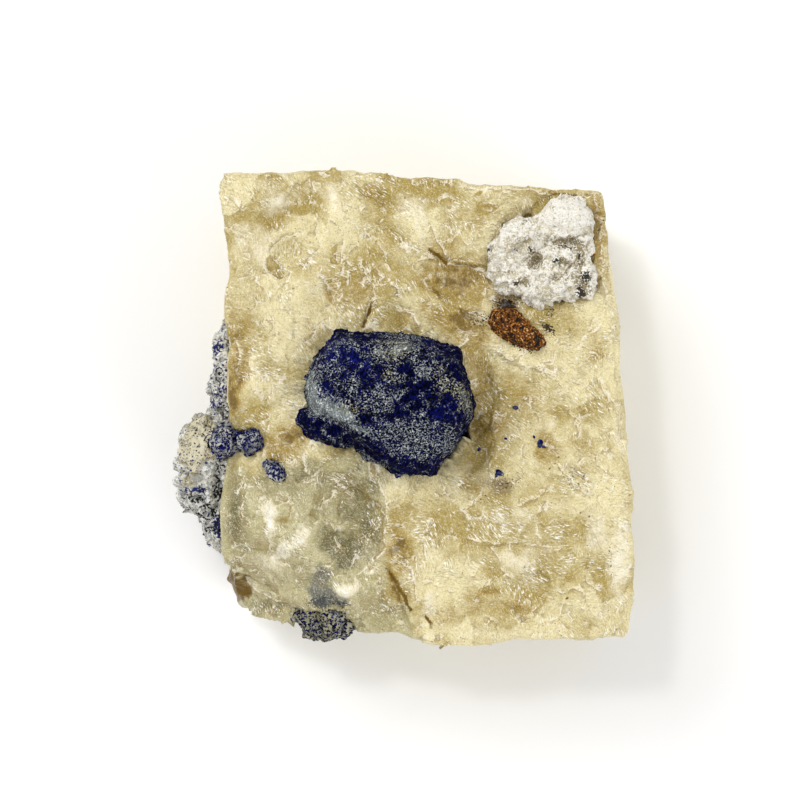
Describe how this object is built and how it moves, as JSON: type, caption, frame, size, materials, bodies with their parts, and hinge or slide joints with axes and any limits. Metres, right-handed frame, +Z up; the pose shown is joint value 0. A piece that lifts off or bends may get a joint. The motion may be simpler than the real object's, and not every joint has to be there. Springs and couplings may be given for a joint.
{
  "type": "rough lapis lazuli mineral specimen",
  "caption": "Large worn lazurite crystal set in a broken block of honey calcite, with small blue crystals, a white patch, a rusty grain and a wall-rock crust.",
  "frame": {"origin": "under the middle of the piece, on the plane of the flat back that it lies on", "axes": "+Z up out of the face that carries the crystal, +Y to the block's top edge in the picture, +X to its right edge"},
  "size_m": [0.0698, 0.0724, 0.0437],
  "materials": {
    "honey_calcite": "broken cleavage face, slightly translucent, glinting",
    "lazurite": "fine grained, dull, with a pale film",
    "white_diopside": "matt, porous",
    "iron_oxide": "rusty, granular",
    "wall_rock": "granular, cream and grey with blue grains"
  },
  "bodies": {
    "root": {"calcite_matrix": "honey_calcite", "lazurite_crystal": "lazurite", "lazurite_edge_pair": "lazurite", "lazurite_small_crystal": "lazurite", "lazurite_foot_cluster": "lazurite", "white_diopside_patch": "white_diopside", "iron_oxide_grain": "iron_oxide", "wall_rock_crust": "wall_rock"}
  },
  "joints": []
}
